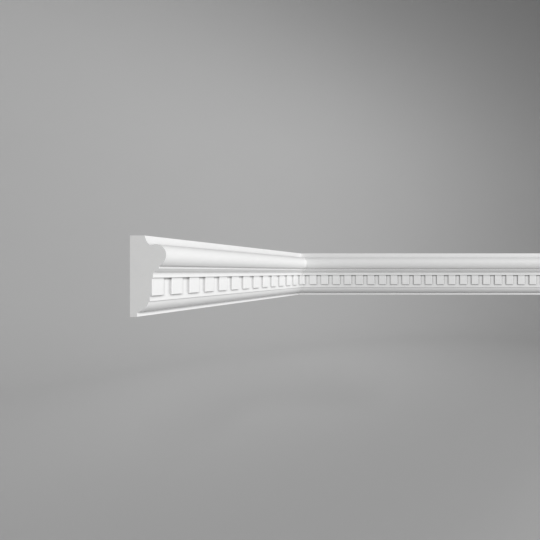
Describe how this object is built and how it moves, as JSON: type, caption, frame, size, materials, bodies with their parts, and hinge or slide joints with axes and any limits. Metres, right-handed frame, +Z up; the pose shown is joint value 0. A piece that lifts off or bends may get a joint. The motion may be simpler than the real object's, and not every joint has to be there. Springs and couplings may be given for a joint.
{
  "type": "dentil dado rail moulding, inside corner",
  "caption": "White dado rail moulding with a coved top, a bold roll and a row of dentils, mitred through an inside corner with square cut ends.",
  "frame": {"origin": "on the flat fixing face of the right length, halfway along it and halfway up it", "axes": "+X along the right length away from the corner, +Y into the surface behind the right length, +Z up; the left length runs towards -Y from the corner at negative X"},
  "size_m": [0.42, 0.278, 0.07],
  "materials": {
    "primed_polymer": "smooth factory primed white, satin to matt"
  },
  "bodies": {
    "root": {"left_length": "primed_polymer", "right_length": "primed_polymer"}
  },
  "joints": []
}
